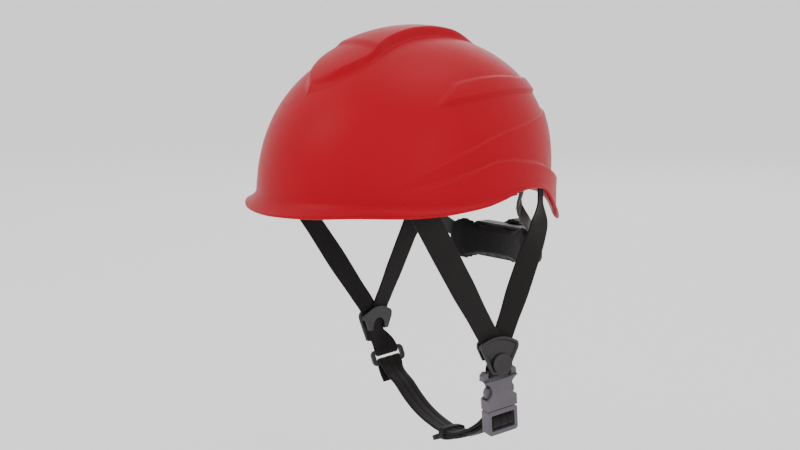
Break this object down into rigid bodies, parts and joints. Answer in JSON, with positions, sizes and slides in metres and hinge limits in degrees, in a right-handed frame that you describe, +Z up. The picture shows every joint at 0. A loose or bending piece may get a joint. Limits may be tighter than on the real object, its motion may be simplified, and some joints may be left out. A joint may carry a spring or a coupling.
{
  "type": "climbing helmet",
  "caption": "Short-brimmed hard-shell climbing-style helmet with an inner webbing cradle, ratchet nape cradle, four-point chin harness and side-release buckle.",
  "frame": {"origin": "middle of the head opening, level with the lower edge of the headband", "axes": "+Z up, -Y to the front of the helmet, +X to the wearer's left"},
  "size_m": [0.2152, 0.253, 0.3309],
  "materials": {
    "shell_red": "satin moulded",
    "black_webbing": "woven webbing",
    "dark_plastic": "fine texture",
    "grey_plastic": "satin moulded",
    "pad_fabric": "knitted over foam",
    "steel": "satin"
  },
  "bodies": {
    "root": {"shell": "shell_red", "key_front_left": "dark_plastic", "key_front_right": "dark_plastic", "key_side_left": "dark_plastic", "key_side_right": "dark_plastic", "key_rear_left": "dark_plastic", "key_rear_right": "dark_plastic", "crown_strap_across": "black_webbing", "crown_strap_left_front": "black_webbing", "crown_strap_right_front": "black_webbing", "crown_pad": "pad_fabric", "headband": "dark_plastic", "brow_pad": "pad_fabric", "anchor_front_left": "dark_plastic", "anchor_front_right": "dark_plastic", "anchor_rear_left": "dark_plastic", "anchor_rear_right": "dark_plastic", "left_strap": "black_webbing", "right_strap": "black_webbing", "left_divider_cover": "dark_plastic", "left_divider_back": "dark_plastic", "right_divider_cover": "dark_plastic", "right_divider_back": "dark_plastic", "buckle_socket": "grey_plastic", "square_ring": "dark_plastic", "chin_strap": "black_webbing", "strap_keeper": "black_webbing", "pivot_pin_left": "steel", "pivot_pin_right": "steel"},
    "nape_cradle": {"ratchet_housing": "dark_plastic", "ratchet_cover": "dark_plastic", "ratchet_detent_ring": "dark_plastic", "nape_pad": "pad_fabric"},
    "knob": {"ratchet_knob": "dark_plastic", "ratchet_pinion": "dark_plastic", "knob_screw": "steel"},
    "arm_left": {"nape_arm_left": "dark_plastic"},
    "arm_right": {"nape_arm_right": "dark_plastic"},
    "plug": {"buckle_plug": "grey_plastic"},
    "prong_rear": {"buckle_prong_rear": "grey_plastic"},
    "prong_front": {"buckle_prong_front": "grey_plastic"}
  },
  "joints": [
    {"name": "nape_tilt", "type": "hinge", "parent": "root", "child": "nape_cradle", "pos_m": [0, 0.04176, 0.009], "axis": [1, 0, 0], "range_deg": [-14, 2], "deforming": ["nape_arm_left", "nape_arm_right"]},
    {"name": "knob_turn", "type": "hinge", "parent": "nape_cradle", "child": "knob", "pos_m": [0, 0.0958, -0.05], "axis": [0, 1, 0], "range_deg": [-110, 110]},
    {"name": "arm_left_slide", "type": "slide", "parent": "nape_cradle", "child": "arm_left", "axis": [1, 0, 0], "range_m": [-0.01, 0.01], "deforming": ["nape_arm_left"]},
    {"name": "arm_right_slide", "type": "slide", "parent": "nape_cradle", "child": "arm_right", "axis": [-1, 0, 0], "range_m": [-0.01, 0.01], "deforming": ["nape_arm_right"]},
    {"name": "plug_pull", "type": "slide", "parent": "root", "child": "plug", "axis": [-0.1219, 0.1689, -0.9781], "range_m": [0, 0.03], "deforming": ["chin_strap", "buckle_prong_rear", "buckle_prong_front"]},
    {"name": "prong_rear_squeeze", "type": "hinge", "parent": "plug", "child": "prong_rear", "pos_m": [0.07205, 0.0418, -0.16149], "axis": [0.9851, -0.0995, -0.1399], "range_deg": [0, 12], "stiffness_Nm_per_rad": 0.3},
    {"name": "prong_front_squeeze", "type": "hinge", "parent": "plug", "child": "prong_front", "pos_m": [0.07, 0.02513, -0.16412], "axis": [0.9851, -0.0995, -0.1399], "range_deg": [-12, 0], "stiffness_Nm_per_rad": 0.3}
  ],
  "couplings": [
    {"joint": "arm_left_slide", "follows": "knob_turn", "m_per_rad": 0.005},
    {"joint": "arm_right_slide", "follows": "knob_turn", "m_per_rad": 0.005},
    {"joint": "prong_front_squeeze", "follows": "prong_rear_squeeze", "ratio": -1}
  ]
}
